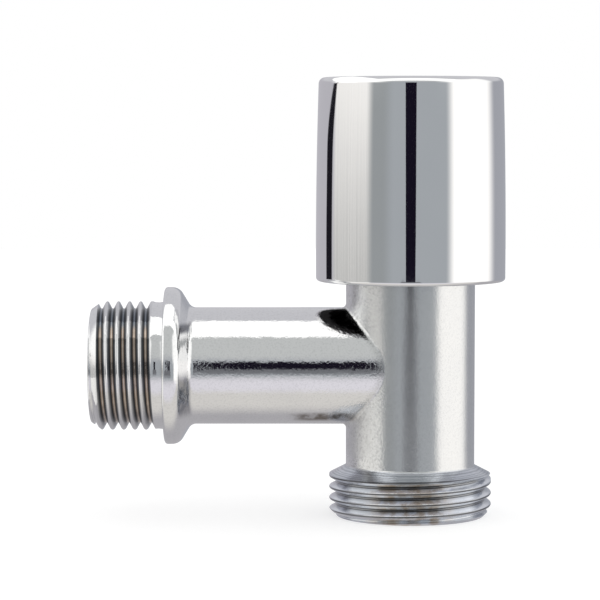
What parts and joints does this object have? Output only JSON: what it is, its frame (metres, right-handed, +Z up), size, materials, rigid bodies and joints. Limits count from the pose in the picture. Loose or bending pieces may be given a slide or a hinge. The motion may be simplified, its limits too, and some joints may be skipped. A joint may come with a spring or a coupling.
{
  "type": "washing machine valve",
  "caption": "Angle valve for a washing machine hose: threaded wall inlet with flange, threaded hose outlet below and a round quarter-turn knob on top.",
  "frame": {"origin": "on the inlet axis, in the plane of the flange's wall face, where the inlet thread begins", "axes": "-X along the inlet thread into the wall, +Z up along the stem axis towards the knob, -Z down through the hose outlet"},
  "size_m": [0.0674, 0.0308, 0.0713],
  "materials": {
    "plated_body": "polished",
    "polished_knob": "polished",
    "headwork_brass": "satin",
    "spring_steel": "satin",
    "disc_ceramic": "satin",
    "seal_rubber": "matte",
    "slip_plastic": "matte"
  },
  "bodies": {
    "valve": {"valve_body": "plated_body", "headwork_bonnet": "headwork_brass", "bonnet_o_ring": "seal_rubber", "spindle_slip_washer": "slip_plastic", "thrust_washer": "slip_plastic", "fixed_ceramic_disc": "disc_ceramic", "seat_seal": "seal_rubber", "seal_support_ring": "headwork_brass"},
    "handle": {"handle_knob": "polished_knob", "spline_insert": "slip_plastic", "screw_lock_washer": "spring_steel", "handle_screw": "spring_steel", "top_cap": "polished_knob", "cap_o_ring": "seal_rubber", "spindle": "headwork_brass", "spindle_o_ring_lower": "seal_rubber", "spindle_o_ring_upper": "seal_rubber", "spindle_circlip": "spring_steel", "moving_ceramic_disc": "disc_ceramic"}
  },
  "joints": [
    {"name": "handle_turn", "type": "hinge", "parent": "valve", "child": "handle", "pos_m": [0.04, 0, 0], "axis": [0, 0, 1], "range_deg": [0, 90]}
  ]
}
